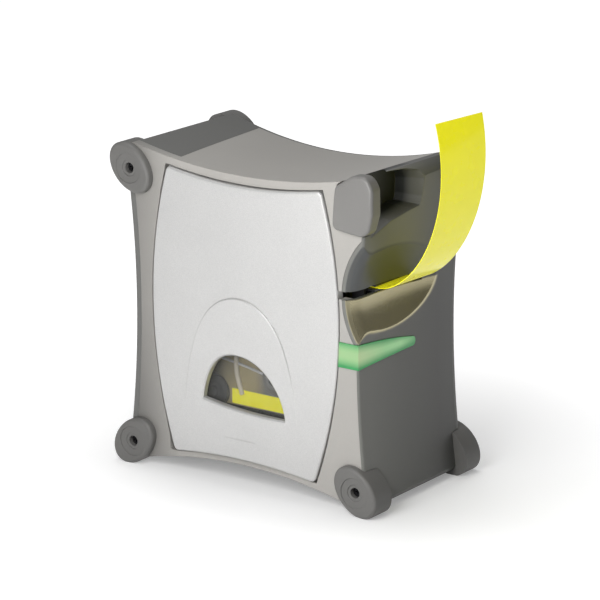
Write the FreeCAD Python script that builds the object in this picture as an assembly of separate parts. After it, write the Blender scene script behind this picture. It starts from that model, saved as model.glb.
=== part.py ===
# Desktop label maker: a two-tone housing with four pinched sides, a hinged silver door with a
# window onto the tape cassette, a printed label leaving a slot in the right side, and the drive
# behind it. Millimetres. X runs to the right, Y from the front to the back, Z up.
import FreeCAD, Part
import json
import math
import os

V = FreeCAD.Vector

# ---------------------------------------------------------------- driving dimensions
hole_span_x = 118.0        # between the corner screws, side to side
hole_span_z = 122.5        # between the corner screws, bottom to top
bumper_pitch = 69.65       # front face of a front bumper to front face of a rear one
bumper_thick = 12.2
bumper_long = 12.4         # half length of the bumper's oval, towards the corner
bumper_short = 8.9
foot_flat = 0.35           # how much of the oval the foot's flat takes off
front_y = 3.5              # front plane of the housing, behind the bumpers' faces
rear_gap = 5.85            # rear bumpers stand this far behind the housing
wall = 2.5
waist_in = 0.5             # sides' waist, inside the screw line
side_bulge = 2.0           # sides swell by this halfway back
top_lift = 4.0             # middle of the top edge above the screw line
top_drop = 3.0             # top falls by this towards the back
base_lift = -0.4           # middle of the bottom edge above the lower screws
corner_out = 5.5           # corners beyond the screw line
corner_up = 12.3
corner_down = 10.1
corner_round = 10.0
edge_round = 1.2           # along the housing's front and rear edges
bezel_thick = 4.5
lip_left = 3.0             # dark shells wrap round onto the front by this much
lip_right = 0.9
rear_cover_thick = 2.5
split_top_left = -35.5     # seams of the top cover; the left one runs outwards to the rear
split_rear_left = -44.0
split_top_right = 50.5
base_half = 46.0

door_top_in = 19.0         # door's corners and waist, inside the screw line
door_bottom_in = 22.0
door_waist_in = 10.3
door_top_corner = 3.5      # door's corners and edges above the screw lines
door_top_edge = -0.1
door_bottom_corner = -0.5
door_bottom_edge = 2.6
door_front = 1.0           # front of the door at its middle
door_crown_r = 633.0       # radius of the door's face, seen from above
door_back = 4.2
door_rim_back = 7.0
door_rim = 1.8
door_edge_round = 0.9
door_corner_round = 2.5
arch_edge_round = 0.5
window_bevel = 0.7
seam = 0.45
arch_half = 30.5           # raised arch on the door
arch_shift = -1.0
arch_top = 74.0
arch_foot = 15.0
arch_raise = 0.9
lens_thick = 1.4
hinge_x = -36.0
hinge_y = 5.5
hinge_pin_r = 1.0
door_swing = 105           # degrees
fit_gap = 0.06             # radial running clearance
play = 0.3                 # clearance between neighbours that don't touch

slot_z = 83.2              # the tape's plane above the lower screws
tape_width = 24.0
tape_front_y = 22.0
tape_thick = 0.3
slot_height = 3.5
slot_back_y = 50.0
scoop_depth = 5.2          # scoop round the slot, measured at the waist
scoop_r = 30.5
scoop_long_r = 182.0
scoop_mid_y = 14.0
scoop_flare = 3.4          # it opens out by this at the front
lining = 2.0
recess_x = 51.0            # inner wall of the finger recess
recess_round = 2.0
knob_back = 6.0
knob_round = 2.6
knob_round_right = 5.0
knob_proud = 0.8           # the knob's domed face stands this far before the bumpers
knob_crown_r = 90.0
knob_edge_round = 1.4
knob_pull = 12             # degrees
knob_pivot_x = 49.4
knob_pivot_y = 8.6
pipe_proud = 0.4
pipe_depth = 2.0
pipe_left = 47.3

deck_y = 50.0              # front face of the mechanism deck
deck_thick = 2.0
cassette_front_y = 20.0
cassette_wide = 66.0
cassette_low = 19.5        # above the lower screws
cassette_high = 88.0
case_wall = 1.6
module = 0.8
addendum = 0.85
gear_wide = 3.0
gear_gap = 1.0
board_y = 66.0
board_thick = 1.6

# ---------------------------------------------------------------- places worked out from them
hole_low = math.sqrt((bumper_long ** 2 + bumper_short ** 2) / 2)
hole_high = hole_low + hole_span_z
hole_x = hole_span_x / 2
mid_z = (hole_low + hole_high) / 2
rear_y = bumper_pitch + bumper_thick - rear_gap
cover_y = rear_y - rear_cover_thick
bezel_back = front_y + bezel_thick
tape_z = hole_low + slot_z
deck_back = deck_y + deck_thick
exit_x = hole_x - waist_in - scoop_depth + 2.2
platen_x = exit_x - 19.5
blade_x = exit_x - 7.0
cassette_right = platen_x - 8.0
cassette_left = cassette_right - cassette_wide
case_low = hole_low + cassette_low
case_high = hole_low + cassette_high
level_1 = deck_back + gear_gap
level_2 = level_1 + gear_wide + gear_gap

nodes = {}
marks = {}


def add(name, *shapes):
    solids = [s for shape in shapes for s in shape.Solids]
    nodes[name] = solids


def box(x0, x1, y0, y1, z0, z1):
    return Part.makeBox(x1 - x0, y1 - y0, z1 - z0, V(x0, y0, z0))


def rod_y(x, z, r, y0, y1):
    return Part.makeCylinder(r, y1 - y0, V(x, y0, z), V(0, 1, 0))


def rod_z(x, y, r, z0, z1):
    return Part.makeCylinder(r, z1 - z0, V(x, y, z0), V(0, 0, 1))


def rod_x(y, z, r, x0, x1):
    return Part.makeCylinder(r, x1 - x0, V(x0, y, z), V(1, 0, 0))


def ring_y(x, z, r_out, r_in, y0, y1):
    return rod_y(x, z, r_out, y0, y1).cut(rod_y(x, z, r_in, y0 - 1, y1 + 1))


def arc(a, b, c):
    return Part.Arc(V(*a), V(*b), V(*c)).toShape()


def prism_y(edges, y0, y1):
    """A closed loop of edges drawn at y = 0, pushed from y0 to y1."""
    face = Part.Face(Part.Wire(Part.__sortEdges__(edges)))
    solid = face.extrude(V(0, y1 - y0, 0))
    solid.translate(V(0, y0, 0))
    return solid


def plate_y(points, y0, y1):
    loop = [V(x, 0, z) for x, z in points]
    return prism_y([Part.LineSegment(a, b).toShape() for a, b in zip(loop, loop[1:] + loop[:1])], y0, y1)


def plate_x(points, x0, x1):
    loop = [V(x0, y, z) for y, z in points]
    face = Part.Face(Part.makePolygon(loop + loop[:1]))
    return face.extrude(V(x1 - x0, 0, 0))


def edges_where(shape, test):
    return [e for e in shape.Edges if test(e)]


# ---------------------------------------------------------------- outer form of the housing
def section(y, left, right, top, bottom):
    """Four hollow arcs at depth y, drawn in by the four insets."""
    depth = rear_y - front_y
    t = (y - front_y) / depth
    bulge = side_bulge * (1 - (2 * t - 1) ** 2)
    drop = top_drop * t * t
    waist = hole_x - waist_in + bulge
    corner = hole_x + corner_out + bulge / 2
    high = hole_high + corner_up - top
    low = hole_low - corner_down + bottom
    a = V(-corner + left, y, low)
    b = V(corner - right, y, low)
    c = V(corner - right, y, high)
    d = V(-corner + left, y, high)
    bottom_mid = V(0, y, hole_low + base_lift + bottom)
    right_mid = V(waist - right, y, mid_z)
    top_mid = V(0, y, hole_high + top_lift - drop - top)
    left_mid = V(-waist + left, y, mid_z)
    arcs = [Part.Arc(a, bottom_mid, b), Part.Arc(b, right_mid, c), Part.Arc(c, top_mid, d), Part.Arc(d, left_mid, a)]
    return Part.Wire([piece.toShape() for piece in arcs])


def rounded_block(inset, y0, y1):
    half = hole_x + corner_out + 1.5 - inset
    low = hole_low - corner_down - 0.3 + inset
    high = hole_high + corner_up - 1.1 - inset
    block = box(-half, half, y0, y1, low, high)
    along = edges_where(block, lambda e: abs(e.tangentAt(e.FirstParameter).y) > 0.9)
    return block.makeFillet(corner_round - inset, along)


def form(y0, y1, left=0.0, right=0.0, top=0.0, bottom=0.0):
    """The pinched housing form between two depths, drawn in by the four insets."""
    stations = [y0, (y0 + y1) / 2, y1]
    loft = Part.makeLoft([section(y, left, right, top, bottom) for y in stations], True, False)
    return loft.common(rounded_block(min(left, right, top, bottom), y0 - 1, y1 + 1))


def bumper_oval(x, z, grow, y0, y1):
    """The corner bumper's oval, its long axis towards the corner."""
    lean = math.copysign(1, x) * math.copysign(1, z - mid_z)
    oval = Part.Ellipse(V(0, 0, 0), bumper_long + grow, bumper_short + grow)
    edge = oval.toShape()
    face = Part.Face(Part.Wire([edge]))
    solid = face.extrude(V(0, 0, y1 - y0))
    solid.rotate(V(0, 0, 0), V(0, 0, 1), 45 * lean)
    solid.rotate(V(0, 0, 0), V(1, 0, 0), 90)
    solid.translate(V(x, y1, z))
    return solid


front_corners = [(-hole_x, hole_low), (hole_x, hole_low), (-hole_x, hole_high)]
rear_corners = front_corners + [(hole_x, hole_high)]
rear_bumper_y = bumper_pitch


def bumper(x, z, front, outward):
    """One moulded bumper: rounded outer edge, dished face, screw hole, flat where it is a foot."""
    back = front + bumper_thick
    body = bumper_oval(x, z, 0.0, front, back)
    face_y = front if outward < 0 else back
    rim = edges_where(body, lambda e: abs(e.CenterOfMass.y - face_y) < 0.01 and e.Length > 20)
    body = body.makeFillet(1.6, rim)
    dish = Part.makeSphere(60.0, V(x, face_y + outward * 59.3, z))
    ring = ring_y(x, z, 3.6, 0.1, face_y - 1.2, face_y + 1.2)
    body = body.cut(dish.common(rod_y(x, z, 6.6, face_y - 3, face_y + 3)))
    body = body.cut(ring.common(box(x - 5, x + 5, face_y - 0.9, face_y + 0.9, z - 5, z + 5)))
    body = body.cut(rod_y(x, z, 2.3, front - 1, back + 1))
    if z < mid_z:
        body = body.cut(box(x - 20, x + 20, front - 1, back + 1, -5, foot_flat))
    return body


def long_edges(shape, y, sides):
    """The long edges of the form at depth y: those of its sides, or of its top and bottom."""
    flat = edges_where(shape, lambda e: abs(e.BoundBox.YMin - y) < 0.3 and abs(e.BoundBox.YMax - y) < 0.3)
    return [e for e in flat if e.Length > 60 and (abs(e.CenterOfMass.x) > hole_x / 2) == sides]


outer = form(front_y, rear_y)
rounded = outer.makeFillet(edge_round, long_edges(outer, front_y, True))
rounded = rounded.makeFillet(edge_round, long_edges(outer, rear_y, True))
rounded = rounded.makeFillet(edge_round, long_edges(outer, rear_y, False))
trims = outer.cut(rounded).Solids      # slender pieces taken off the shells' long edges
inner = form(front_y - 1, rear_y + 1, wall, wall, wall, wall)
bezel_zone = form(front_y - 1.0, bezel_back, lip_left, lip_right, -3.0, -3.0)
bezel_form = outer.common(bezel_zone)
front_ovals = [bumper_oval(x, z, 0.0, 0.0, bumper_thick) for x, z in front_corners]
rear_ovals = [bumper_oval(x, z, 0.0, rear_bumper_y, rear_bumper_y + bumper_thick) for x, z in rear_corners]
ovals = front_ovals + rear_ovals


def clear_of(shape, others):
    for other in others:
        shape = shape.cut(other)
    return shape


# ---------------------------------------------------------------- door outline
def door_outline(grow, y0, y1):
    top = hole_high + door_top_corner + grow
    low = hole_low + door_bottom_corner - grow
    top_half = hole_x - door_top_in + grow
    low_half = hole_x - door_bottom_in + grow
    side = hole_x - door_waist_in + grow
    top_mid = hole_high + door_top_edge + grow
    low_mid = hole_low + door_bottom_edge - grow
    edges = [arc((-low_half, 0, low), (0, 0, low_mid), (low_half, 0, low)),
             arc((low_half, 0, low), (side, 0, mid_z + 2), (top_half, 0, top)),
             arc((top_half, 0, top), (0, 0, top_mid), (-top_half, 0, top)),
             arc((-top_half, 0, top), (-side, 0, mid_z + 2), (-low_half, 0, low))]
    return prism_y(edges, y0, y1)


# ---------------------------------------------------------------- latch knob and finger recess
def knob_outline(grow, y0, y1):
    """The knob's plate: slanted bottom and top, round on the right."""
    x, z = hole_x, hole_high
    points = [(x - 12.0 - grow, z - 10.8 - grow), (x + 5.6 + grow, z - 12.6 - grow),
              (x + 8.3 + grow, z - 2.5), (x + 8.0 + grow, z + 8.0 + grow), (x + 5.0, z + 13.0 + grow),
              (x - 2.5, z + 12.6 + grow), (x - 10.5 - grow, z + 7.0 + grow)]
    plate = plate_y(points, y0, y1)
    for radius, right in ((knob_round, False), (knob_round_right, True)):
        corners = edges_where(plate, lambda e: abs(e.tangentAt(e.FirstParameter).y) > 0.9 and e.Curve.TypeId ==
                              "Part::GeomLine" and (e.CenterOfMass.x > x - 6) == right)
        plate = plate.makeFillet(radius + grow, corners)
    return plate


def recess_cutter(grow):
    """The hollow behind the knob, narrowing inwards, as a tapered block along X."""
    z = hole_high
    outline = [(knob_back + 1.0, z - 14.5), (20.0, z - 9.8), (34.7, z - 7.6), (41.5, z - 6.8),
               (42.8, z - 3.0), (42.8, z + 5.0), (41.0, z + 9.0), (34.0, z + 11.0), (knob_back + 1.0, z + 12.5)]
    mid_y = sum(p[0] for p in outline) / len(outline)
    mid = sum(p[1] for p in outline) / len(outline)
    loops = []
    for x, shrink in ((recess_x - grow, 2.6), (hole_x + 12, -0.6)):
        loop = []
        for y, height in outline:
            reach = math.hypot(y - mid_y, height - mid)
            k = (reach - shrink + grow) / reach
            loop.append(V(x, max(mid_y + (y - mid_y) * k, knob_back + 1.0 - grow), mid + (height - mid) * k))
        loops.append(Part.makePolygon(loop + loop[:1]))
    return Part.makeLoft(loops, True, True)


def scoop(grow):
    """A turned hollow whose axis lies outside the right side, parallel to Y."""
    axis_x = exit_x + scoop_r - 0.4
    stations = [(front_y - 4.0, 1.1), (front_y, 1.0), (front_y + 2.0, 0.55), (front_y + 4.5, 0.14), (front_y + 7.5, 0.0),
                (scoop_mid_y + 4.0, 0.0), (scoop_mid_y + 26.0, 0.0), (scoop_mid_y + 52.0, 0.0)]
    points = []
    for y, flare in stations:
        radius = scoop_r + grow + flare * scoop_flare - (y - scoop_mid_y) ** 2 / (2 * scoop_long_r)
        points.append(V(axis_x - radius, y, tape_z))
    curve = Part.BSplineCurve()
    curve.interpolate(points)
    a, b = points[0], points[-1]
    loop = Part.Wire([curve.toShape(), Part.makeLine(b, V(axis_x, b.y, tape_z)),
                      Part.makeLine(V(axis_x, b.y, tape_z), V(axis_x, a.y, tape_z)),
                      Part.makeLine(V(axis_x, a.y, tape_z), a)])
    return Part.Face(loop).revolve(V(axis_x, 0, tape_z), V(0, 1, 0), 360)


slot_cut = box(exit_x - 9.0, hole_x + 20, front_y - 1, slot_back_y, tape_z - slot_height / 2, tape_z + slot_height / 2)


# ---------------------------------------------------------------- green light pipe
def pipe_band(proud, deep):
    """A band round the front right corner, tapering to a round end on the side."""
    z = hole_low
    skin = form(front_y - 0.5, rear_y, -proud, -proud, -proud, -proud)
    skin = skin.common(box(0, 90, front_y - proud, rear_y, 0, 200))
    core = form(front_y - 1, rear_y + 1, deep, deep, deep, deep)
    core = core.common(box(0, 90, front_y + deep, rear_y, 0, 200))
    outline = [Part.makeLine(V(0, -1, z + 51.8), V(0, front_y, z + 52.6)),
               arc((0, front_y, z + 52.6), (0, 22.0, z + 54.2), (0, 40.0, z + 54.9)),
               arc((0, 40.0, z + 54.9), (0, 42.2, z + 57.0), (0, 40.0, z + 59.0)),
               arc((0, 40.0, z + 59.0), (0, 22.0, z + 62.0), (0, front_y, z + 63.2)),
               Part.makeLine(V(0, front_y, z + 63.2), V(0, -1, z + 62.8)),
               Part.makeLine(V(0, -1, z + 62.8), V(0, -1, z + 51.8))]
    mask = Part.Face(Part.Wire(outline)).extrude(V(90, 0, 0)).common(box(pipe_left, 90, -2, 60, 0, 200))
    return skin.cut(core).common(mask).cut(door_outline(seam, -5, 20))


light_pipe = pipe_band(pipe_proud, pipe_depth)
add("light_pipe", light_pipe)

# ---------------------------------------------------------------- housing shells
band = outer.common(box(-99, 99, front_y, cover_y, -5, 250)).cut(inner.common(box(-99, 99, bezel_back, 99, -5, 250)))
band = band.cut(bezel_zone)


def plan_block(points, z0, z1):
    """A block with a straight-sided plan, points of (x, y)."""
    loop = Part.makePolygon([V(x, y, z0) for x, y in points + points[:1]])
    return Part.Face(loop).extrude(V(0, 0, z1 - z0))


left_seam = [(split_top_left, 0), (split_rear_left, rear_y)]
left_zone = plan_block([(-99, 0)] + left_seam + [(-99, rear_y)], mid_z, 250).fuse(
    box(-99, -base_half, 0, rear_y, -5, mid_z))
right_zone = plate_y([(99, -5), (base_half, -5), (base_half, mid_z), (split_top_right, mid_z),
                      (split_top_right, 250), (99, 250)], 0, 99)


def column(x, z, y0):
    """Screw column in a corner, from a front bumper to the rear one."""
    tube = rod_y(x, z, 4.4, y0, rear_bumper_y).common(outer)
    return tube.cut(rod_y(x, z, 1.3, y0 - 1, rear_bumper_y + 1))


heel = knob_outline(0.7, knob_back - 1.0, knob_back + 2.4).common(box(-99, knob_pivot_x + 3.0, -5, 20, 0, 250))
knob_pocket = [knob_outline(0.7, -5, knob_back + 1.0), heel]
for angle in (knob_pull / 2, knob_pull):
    pulled = knob_outline(play, -5, knob_back)
    pulled.rotate(V(knob_pivot_x, knob_pivot_y, 0), V(0, 0, -1), angle)
    knob_pocket.append(pulled)
pivot_low, pivot_high = hole_high - 9.0, hole_high + 3.0
strike_z = hole_high - 6.0
strike_x = 41.4
latch_room = box(strike_x + 0.2, knob_pivot_x + 5.6, knob_back - 1.0, 15.4, pivot_low - play, pivot_high + play)
latch_pin = rod_z(knob_pivot_x, knob_pivot_y, 1.0, pivot_low - 3.0, pivot_high + 3.0)
recess = recess_cutter(0.0)
columns = [column(x, z, bumper_thick) for x, z in front_corners]
rear_column_y = 47.0
columns.append(column(hole_x, hole_high, rear_column_y))

left_shell = band.common(left_zone).fuse(columns[0]).fuse(columns[2])
add("left_shell", clear_of(left_shell, ovals + trims))

right_shell = band.common(right_zone).fuse(columns[1]).fuse(columns[3])
lined = scoop(lining)
scoop_lining = lined.common(inner).common(box(exit_x - 9, 99, bezel_back, deck_y - play, 0, 250))
scoop_lining = scoop_lining.fuse(lined.common(bezel_form).common(box(exit_x - 9, 99, front_y, bezel_back, 0, 250)))
recess_lining = recess_cutter(1.6).common(inner).common(box(0, 99, bezel_back, 60, 0, 250))
right_shell = right_shell.fuse(scoop_lining).fuse(recess_lining)
right_shell = clear_of(right_shell.cut(scoop(0.0)).cut(recess).cut(slot_cut).cut(light_pipe), knob_pocket)
right_shell = right_shell.cut(latch_room).cut(latch_pin)
right_shell = right_shell.cut(rod_y(hole_x, hole_high, 1.3, rear_column_y - 1, rear_bumper_y + 1))
add("right_shell", clear_of(right_shell, ovals + trims))

top_zone = plan_block(left_seam + [(split_top_right, rear_y), (split_top_right, 0)], mid_z, 250)
add("top_cover", clear_of(band.common(top_zone).cut(recess), ovals + trims))
base_zone = box(-base_half, base_half, 0, 99, -5, mid_z)
vents = [box(-24 + 8 * k, -21.6 + 8 * k, 24, 56, -5, 60) for k in range(7)]
add("base_plate", clear_of(band.common(base_zone), ovals + vents + trims))

# ---------------------------------------------------------------- front bezel
bezel = bezel_form.cut(door_outline(seam, 0, 20))
swung = door_outline(play + 0.1, door_front + 0.6, door_rim_back + 0.1).common(box(-99, hinge_x + 4.5, -5, 20, 0, 250))
for angle in range(7, door_swing + 1, 7):
    turned = swung.copy()
    turned.rotate(V(hinge_x, hinge_y, 0), V(0, 0, -1), angle)
    bezel = bezel.cut(turned)
bezel = clear_of(bezel.cut(recess).cut(lined).cut(slot_cut).cut(light_pipe), knob_pocket)
bezel = bezel.cut(latch_room).cut(latch_pin)
pin_low = hole_low + door_bottom_edge - 6.0
pin_high = hole_high + door_top_edge + 6.2
bezel = bezel.cut(rod_z(hinge_x, hinge_y, hinge_pin_r + fit_gap, pin_low, pin_high))
bezel = clear_of(bezel, front_ovals)
add("front_bezel", bezel)

# ---------------------------------------------------------------- rear cover with its sockets
usb_x, usb_z = -26.0, hole_low + 16.0
jack_x, jack_z = -4.0, hole_low + 16.0
usb_wide, usb_high = 12.0, 11.0
jack_r = 5.0
rear_cover = outer.common(box(-99, 99, cover_y, 99, -5, 250))
rear_cover = rear_cover.cut(box(usb_x - usb_wide / 2 - play, usb_x + usb_wide / 2 + play, 60, 90,
                                usb_z - usb_high / 2 - play, usb_z + usb_high / 2 + play))
rear_cover = rear_cover.cut(rod_y(jack_x, jack_z, jack_r + play, 60, 90))
louvres = [box(-30, 30, 60, 90, hole_low + 70 + 6 * k, hole_low + 72.4 + 6 * k) for k in range(5)]
rear_cover = clear_of(rear_cover, louvres)
post_x, post_low, post_high = 46.0, hole_low + 12.0, hole_low + 114.0
posts = [rod_y(sx * post_x, z, 3.4, deck_back, cover_y) for sx in (-1, 1) for z in (post_low, post_high)]
for post in posts:
    rear_cover = rear_cover.fuse(post)
post_places = [(sx * post_x, z) for sx in (-1, 1) for z in (post_low, post_high)]
for x, z in post_places:
    rear_cover = rear_cover.cut(rod_y(x, z, 1.3, deck_y, 90)).cut(rod_y(x, z, 2.8, rear_y - 1.6, 90))
add("rear_cover", clear_of(rear_cover, rear_ovals + trims))
screws = []
for x, z in post_places:
    screws.append(rod_y(x, z, 2.6, rear_y - 1.6, rear_y - 0.1).fuse(rod_y(x, z, 1.25, deck_y + 0.2, rear_y - 1.6)))
add("rear_cover_screws", *screws)

# ---------------------------------------------------------------- bumpers and their screws
names = ("front_foot_left", "front_foot_right", "front_bumper_left")
for name, (x, z) in zip(names, front_corners):
    add(name, bumper(x, z, 0.0, -1))
names = ("rear_foot_left", "rear_foot_right", "rear_bumper_left", "rear_bumper_right")
for name, (x, z) in zip(names, rear_corners):
    add(name, bumper(x, z, rear_bumper_y, 1))


def corner_screw(x, z, head_y, way):
    head = rod_y(x, z, 2.2, min(head_y, head_y + way * 2.0), max(head_y, head_y + way * 2.0))
    tip = head_y + way * 16.0
    screw = head.fuse(rod_y(x, z, 1.25, min(head_y, tip), max(head_y, tip)))
    cross = box(x - 1.3, x + 1.3, head_y - 1, head_y + 1, z - 0.3, z + 0.3)
    return screw.cut(cross).cut(box(x - 0.3, x + 0.3, head_y - 1, head_y + 1, z - 1.3, z + 1.3))


corner_screws = [corner_screw(x, z, 3.0, 1) for x, z in front_corners]
corner_screws += [corner_screw(x, z, rear_bumper_y + bumper_thick - 3.0, -1) for x, z in rear_corners]
add("corner_screws", *corner_screws)

# ---------------------------------------------------------------- door, window, hinge
door_face = rod_z(0, door_front + door_crown_r, door_crown_r, -20, 220)
door = door_outline(0.0, -3, door_rim_back).common(door_face)
door = door.makeFillet(door_corner_round, edges_where(door, lambda e: abs(e.tangentAt(e.FirstParameter).y) > 0.99))
door = door.makeFillet(door_edge_round, edges_where(door, lambda e: e.BoundBox.YMax < front_y))
door = door.cut(door_outline(-door_rim, door_back, 20))
arch_z = hole_low + arch_top
foot_z = hole_low + arch_foot
left_foot, right_foot = arch_shift - arch_half, arch_shift + arch_half
arch_high = arch_z - foot_z
arch_half_loop = [(1.0, 0.0), (0.944, 0.305), (0.826, 0.576), (0.643, 0.797), (0.354, 0.949)]
arch_points = [(-w, h) for w, h in arch_half_loop] + [(0.0, 1.0)] + arch_half_loop[::-1]
arch_curve = Part.BSplineCurve()
arch_curve.interpolate([V(arch_shift + arch_half * w, 0, foot_z + arch_high * h) for w, h in arch_points])
arch_loop = [arch_curve.toShape(), Part.makeLine(V(right_foot, 0, foot_z), V(left_foot, 0, foot_z))]
arch = prism_y(arch_loop, -6, door_back)
raised = rod_z(0, door_front + door_crown_r - arch_raise, door_crown_r, -20, 220)
raised.rotate(V(0, door_front - arch_raise, arch_z), V(1, 0, 0), math.degrees(arch_raise / (0.9 * arch_high)))
arch = arch.common(raised)
arch = arch.makeFillet(arch_edge_round, edges_where(arch, lambda e: e.BoundBox.YMax < door_front + 1.0 and e.Length > 50))
door = door.fuse(arch).removeSplitter()
win_left = (-20.8, hole_low + 26.8)
win_top = (-3.0, hole_low + 48.5)
win_right = (22.2, hole_low + 24.2)


def window_outline(grow, y0, y1):
    a = (win_left[0] - 1.2 * grow, 0, win_left[1] - grow * 0.8)
    b = (win_top[0], 0, win_top[1] + grow)
    c = (win_right[0] + 1.2 * grow, 0, win_right[1] - grow * 0.8)
    crown = Part.BSplineCurve()
    crown.interpolate([V(*a), V(-17.6 - grow, 0, hole_low + 38.2 + grow * 0.5), V(-11.5, 0, hole_low + 46.0 + grow),
                       V(*b), V(6.6, 0, hole_low + 46.6 + grow), V(15.4 + grow, 0, hole_low + 39.8 + grow * 0.5), V(*c)])
    edges = [crown.toShape(), arc(c, (0, 0, hole_low + 24.4 - grow), a)]
    return prism_y(edges, y0, y1)


door = door.cut(window_outline(0.0, -5, 20))
rim = edges_where(door, lambda e: e.BoundBox.YMax < door_front + 1.2 and abs(e.CenterOfMass.z - hole_low - 34) < 15
                  and abs(e.CenterOfMass.x) < 24 and e.Length > 20)
door = door.makeChamfer(window_bevel, rim)
thumb = Part.makeSphere(61.0, V(-1, door_front - 60.1, hole_low + 16.5))
thumb = thumb.common(box(-12, 12, -9, 5, hole_low + 4, hole_low + 11.5))
door = door.cut(thumb)
strike = box(strike_x - 2.0, strike_x, door_back - 0.5, 15.0, strike_z - 5, strike_z + 5)
strike = strike.cut(box(strike_x - 5, strike_x + 5, 10.6, 13.4, strike_z - 3, strike_z + 3))
door = door.fuse(strike)
pin_boss_low = box(hinge_x - 3.5, hinge_x + 3.5, door_back - 0.5, door_rim_back, hole_low, hole_low + 10)
pin_boss_high = box(hinge_x - 3.5, hinge_x + 3.5, door_back - 0.5, door_rim_back, hole_high - 8, hole_high + 8)
bosses = pin_boss_low.fuse(pin_boss_high).common(door_outline(0.0, 0, 20))
door = door.fuse(bosses)
pin_bottom = (pin_low + 1.4, hole_low + 8.0)
pin_top = (hole_high - 6.0, pin_high - 1.4)
for z0, z1 in (pin_bottom, pin_top):
    door = door.cut(rod_z(hinge_x, hinge_y, hinge_pin_r, z0, z1))
add("door_panel", door)
add("hinge_pins", *[rod_z(hinge_x, hinge_y, hinge_pin_r, z0, z1) for z0, z1 in (pin_bottom, pin_top)])
add("window_lens", window_outline(1.3, door_back, door_back + lens_thick))

# ---------------------------------------------------------------- latch lever
knob = knob_outline(0.0, -knob_proud - 0.4, knob_back)
crown = Part.makeSphere(knob_crown_r, V(hole_x - 2.0, knob_crown_r - knob_proud, hole_high - 1.0))
knob = knob.common(crown)
knob = knob.makeFillet(knob_edge_round, edges_where(knob, lambda e: e.BoundBox.YMax < knob_back - 2.0))
hub = rod_z(knob_pivot_x, knob_pivot_y, 2.4, pivot_low, pivot_high)
neck = box(knob_pivot_x - 1.6, knob_pivot_x + 2.0, knob_back - 1.0, knob_pivot_y, pivot_low, pivot_high)
arm = box(knob_pivot_x - 2.0, knob_pivot_x - 0.2, knob_pivot_y, 13.2, strike_z - 2, strike_z + 2)
hook = box(strike_x + 0.3, knob_pivot_x - 0.2, 11.2, 13.2, strike_z - 2, strike_z + 2)
lever = knob.fuse(hub).fuse(neck).fuse(arm).fuse(hook)
lever = lever.cut(rod_z(knob_pivot_x, knob_pivot_y, 1.0 + fit_gap, 0, 250))
add("latch_lever", lever)
add("latch_pin", latch_pin)

# ---------------------------------------------------------------- label strip and the tape inside
def strip(stations):
    """A thin strip through stations of (x, y, z, lean, turn): lean tips it up, turn twists it."""
    wires = []
    for x, y, z, lean, turn in stations:
        along = V(math.cos(lean), 0, math.sin(lean))
        across = V(math.sin(lean) * math.sin(turn), math.cos(turn), -math.cos(lean) * math.sin(turn))
        normal = along.cross(across)
        across.normalize()
        normal.normalize()
        c = V(x, y, z)
        w = across * (tape_width / 2)
        h = normal * (tape_thick / 2)
        wires.append(Part.makePolygon([c - w - h, c + w - h, c + w + h, c - w + h, c - w - h]))
    return Part.makeLoft(wires, True, False)


tape_mid_y = tape_front_y + tape_width / 2
curl_length, curl_steps, full_turn = 88.0, 9, 20.0
step = curl_length / curl_steps
px, pz = exit_x + 1.0, tape_z
curl = [(px, tape_mid_y, pz, math.radians(3), 0.0)]
for k in range(1, curl_steps + 1):
    half_way = (k - 0.5) * step
    rise = math.radians(3 + 40 * (1 - math.exp(-half_way / 14)) + 0.7 * half_way)
    px += step * math.cos(rise)
    pz += step * math.sin(rise)
    rise_here = math.radians(3 + 40 * (1 - math.exp(-k * step / 14)) + 0.7 * k * step)
    curl.append((px, tape_mid_y, pz, rise_here, math.radians(full_turn * k / curl_steps)))
inside = [(blade_x + 1.4, tape_mid_y, tape_z, 0.0, 0.0), (exit_x - 3.0, tape_mid_y, tape_z, 0.0, 0.0)]
add("label_strip", strip(inside + curl))

# ---------------------------------------------------------------- gears
def gear(teeth, x, z, y0, bore, phase, wide=gear_wide):
    """A spur gear along Y; phase is the angle in the X-Z plane of one tooth's middle."""
    pitch_r = module * teeth / 2
    base_r = pitch_r * math.cos(math.radians(20))
    root_r = pitch_r - 1.2 * module
    tip_r = pitch_r + addendum * module
    slack = 0.045 / pitch_r

    def half_angle(r):
        cosine = min(1.0, base_r / r)
        pressure = math.acos(cosine)
        involute = math.tan(pressure) - pressure
        nominal = math.tan(math.radians(20)) - math.radians(20)
        return math.pi / (2 * teeth) - slack + nominal - involute

    radii = [max(root_r, base_r), pitch_r, (pitch_r + tip_r) / 2, tip_r]
    flank = [(root_r, half_angle(radii[0]))] + [(r, half_angle(r)) for r in radii]
    points = []
    for k in range(teeth):
        middle = phase + 2 * math.pi * k / teeth
        for r, a in flank:
            points.append((x + r * math.cos(middle - a), z + r * math.sin(middle - a)))
        for r, a in reversed(flank):
            points.append((x + r * math.cos(middle + a), z + r * math.sin(middle + a)))
    tidy = [p for k, p in enumerate(points) if math.dist(p, points[k - 1]) > 1e-4]
    return plate_y(tidy, y0, y0 + wide).cut(rod_y(x, z, bore, y0 - 1, y0 + wide + 1))


def mesh_phase(parent, parent_teeth, parent_phase, child, child_teeth):
    """The child's tooth angle that puts a gap where the parent's tooth reaches it."""
    toward = math.atan2(child[1] - parent[1], child[0] - parent[0])
    pitch = 2 * math.pi / parent_teeth
    part = ((toward - parent_phase) / pitch) % 1.0
    child_pitch = 2 * math.pi / child_teeth
    return toward + math.pi + (part + 0.5) * child_pitch


def meet(a, ra, b, rb, side):
    """The point ra from a and rb from b, on one side of the line between them."""
    d = math.dist(a, b)
    along = (ra * ra - rb * rb + d * d) / (2 * d)
    off = math.sqrt(ra * ra - along * along) * side
    ux, uz = (b[0] - a[0]) / d, (b[1] - a[1]) / d
    return (a[0] + ux * along - uz * off, a[1] + uz * along + ux * off)


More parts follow.
